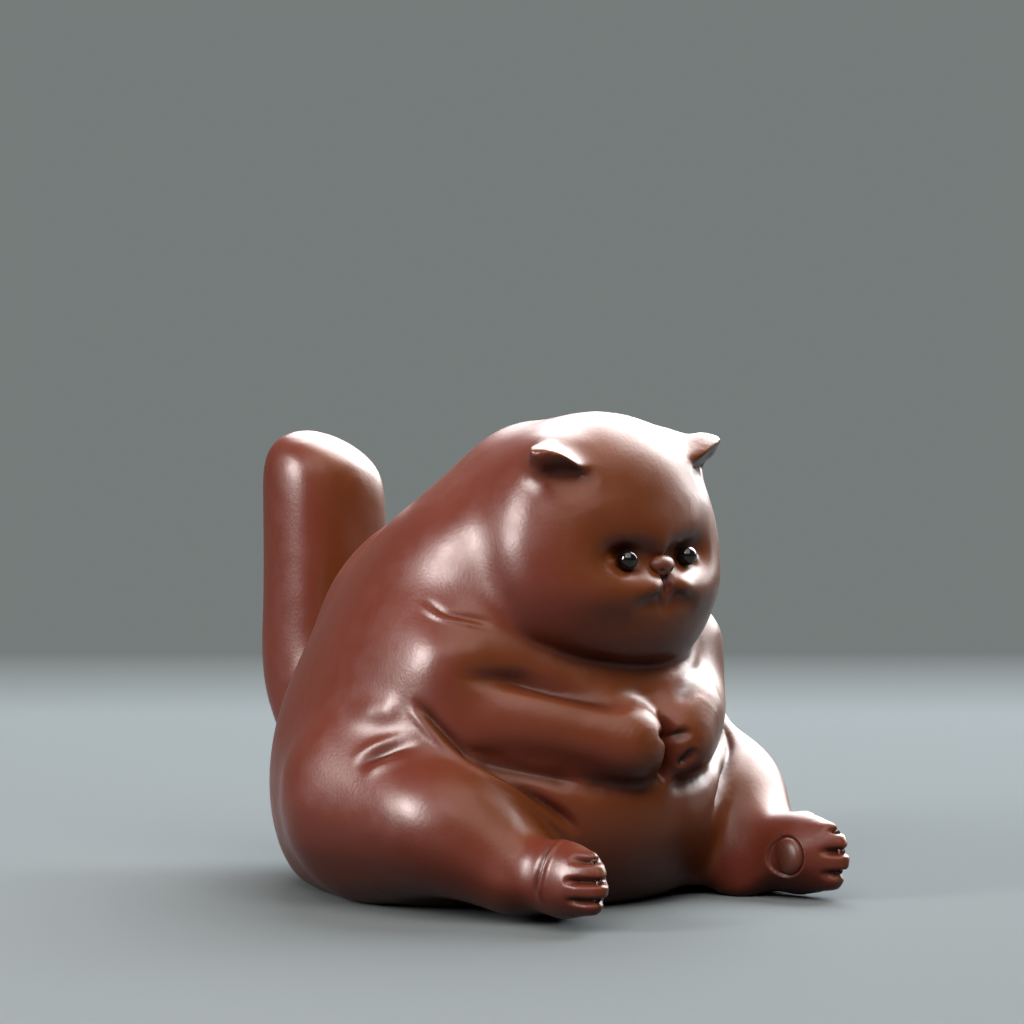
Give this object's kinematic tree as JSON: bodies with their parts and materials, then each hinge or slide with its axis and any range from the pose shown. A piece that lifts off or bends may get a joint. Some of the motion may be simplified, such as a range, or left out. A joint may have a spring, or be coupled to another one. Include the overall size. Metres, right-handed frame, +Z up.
{
  "type": "cat tea pet",
  "caption": "Hollow burnished clay figurine of a fat cat sitting upright with folded forelegs, stretched hind legs and a raised tail, kept on a tea tray.",
  "frame": {"origin": "on the floor plane, under the middle of the figure's bounding box", "axes": "+Z up; -Y is the way the cat faces, so +Y is towards the tail; +X is the cat's left"},
  "size_m": [0.0692, 0.086, 0.0647],
  "materials": {
    "clay": "burnished satin",
    "dark_clay": "satin",
    "bead": "glossy"
  },
  "bodies": {
    "root": {"torso_front_shell": "clay", "torso_back_shell": "clay", "face_shell": "clay", "skull_shell": "clay", "left_ear": "clay", "right_ear": "clay", "left_foreleg": "clay", "right_foreleg": "clay", "left_hind_leg": "clay", "right_hind_leg": "clay", "left_hind_foot": "clay", "right_hind_foot": "clay", "tail": "clay", "base_disc": "dark_clay", "nose": "dark_clay", "left_sole_pad": "dark_clay", "right_sole_pad": "dark_clay", "left_eye": "bead", "right_eye": "bead"}
  },
  "joints": []
}
